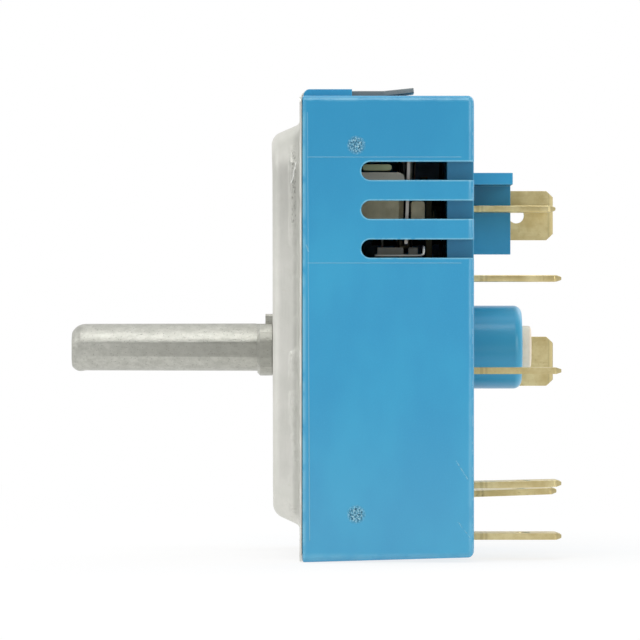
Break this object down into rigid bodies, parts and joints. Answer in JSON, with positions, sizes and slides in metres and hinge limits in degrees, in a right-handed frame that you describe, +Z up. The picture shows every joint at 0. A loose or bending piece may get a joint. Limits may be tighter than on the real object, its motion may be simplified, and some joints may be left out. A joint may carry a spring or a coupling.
{
  "type": "cooker energy regulator rotary switch",
  "caption": "Rotary energy regulator for a cooker hob: D-shaft through a deep-drawn steel plate, blue moulded case with side vents, and brass push-on terminals at the back",
  "frame": {"origin": "centre of the bounding box in X and Y, on the underside that the switch stands on", "axes": "the shaft's axis is Y and points out of the front towards -Y, the terminals leave the back towards +Y, +Z is up towards the lever's end, and the vented side seen in the picture faces +X"},
  "size_m": [0.046, 0.0612, 0.0582],
  "materials": {
    "blue_moulding": "semi-matte moulded blue plastic",
    "zinc_steel": "zinc-plated pressed steel",
    "die_cast": "grainy die-cast zinc",
    "cream_moulding": "cream moulded plastic",
    "brass": "stamped brass, slightly dulled",
    "grey_ceramic": "unglazed grey-beige ceramic",
    "spring_steel": "cold-rolled spring metal",
    "silver": "silver contact face",
    "resistance_wire": "oxidised resistance wire"
  },
  "bodies": {
    "root": {"case": "blue_moulding", "clamp_block": "grey_ceramic", "clamp_rivet": "brass", "detent_leaf": "spring_steel", "detent_rivet": "zinc_steel", "front_plate": "zinc_steel", "heat_terminal": "brass", "heater_carrier": "grey_ceramic", "heater_clip": "brass", "heater_return_terminal": "brass", "lever_pin": "zinc_steel", "load_fixed_contact": "silver", "load_terminal": "brass", "mains_fixed_contact": "silver", "mains_in_terminal": "brass", "mains_out_terminal": "brass", "mains_rivet": "brass", "pilot_fixed_contact": "silver", "pilot_rivet": "brass", "pilot_terminal": "brass", "ring_fixed_contact": "silver", "ring_in_terminal": "brass", "ring_out_terminal": "brass", "ring_rivet": "brass", "snap_rivet": "brass", "stack_bracket": "zinc_steel", "wave_washer": "spring_steel"},
    "knob_shaft": {"shaft": "die_cast", "cam_drum": "cream_moulding"},
    "lever": {"setting_lever": "zinc_steel", "calibrating_screw": "brass"},
    "mains_blade": {"mains_leaf": "spring_steel", "mains_moving_contact": "silver"},
    "ring_blade": {"ring_leaf": "spring_steel", "ring_moving_contact": "silver"},
    "pilot_blade": {"pilot_leaf": "spring_steel", "pilot_moving_contact": "silver"},
    "bimetal": {"bimetal_strip": "spring_steel", "heater_sleeve": "grey_ceramic", "heater_winding": "resistance_wire", "push_pin": "cream_moulding"},
    "snap_blade": {"snap_leaf": "spring_steel", "snap_moving_contact": "silver"}
  },
  "joints": [
    {"name": "shaft_turn", "type": "hinge", "parent": "root", "child": "knob_shaft", "pos_m": [0, -0.0014, 0.0262], "axis": [0, 1, 0], "range_deg": [0, 285]},
    {"name": "setting_lever_tilt", "type": "hinge", "parent": "root", "child": "lever", "pos_m": [-0.001, 0.0024, 0.0522], "axis": [1, 0, 0], "range_deg": [0, 5.5]},
    {"name": "mains_leaf_flex", "type": "hinge", "parent": "root", "child": "mains_blade", "pos_m": [0.01522, 0.0072, 0.02421], "axis": [0, 1, 0], "range_deg": [-8.91, 0]},
    {"name": "ring_leaf_flex", "type": "hinge", "parent": "root", "child": "ring_blade", "pos_m": [0.015, 0.0109, 0.0124], "axis": [0, 1, 0], "range_deg": [-3.82, 0]},
    {"name": "pilot_leaf_flex", "type": "hinge", "parent": "root", "child": "pilot_blade", "pos_m": [-0.01207, 0.0033, 0.006], "axis": [0, 1, 0], "range_deg": [0, 2.81]},
    {"name": "bimetal_bend", "type": "hinge", "parent": "root", "child": "bimetal", "pos_m": [0.01535, 0.01155, 0.0422], "axis": [0, 0, 1], "range_deg": [0, 0.93], "stiffness_Nm_per_rad": 0.02},
    {"name": "snap_leaf_flex", "type": "hinge", "parent": "root", "child": "snap_blade", "pos_m": [-0.0155, 0.0088, 0.0422], "axis": [1, 0, 0], "range_deg": [-3.98, 0]}
  ],
  "couplings": [
    {"joint": "setting_lever_tilt", "follows": "shaft_turn", "ratio": 0.019298},
    {"joint": "mains_leaf_flex", "follows": "shaft_turn", "ratio": -0.031262},
    {"joint": "ring_leaf_flex", "follows": "shaft_turn", "ratio": -0.013403},
    {"joint": "pilot_leaf_flex", "follows": "shaft_turn", "ratio": 0.00986},
    {"joint": "snap_leaf_flex", "follows": "bimetal_bend", "ratio": -4.28}
  ]
}
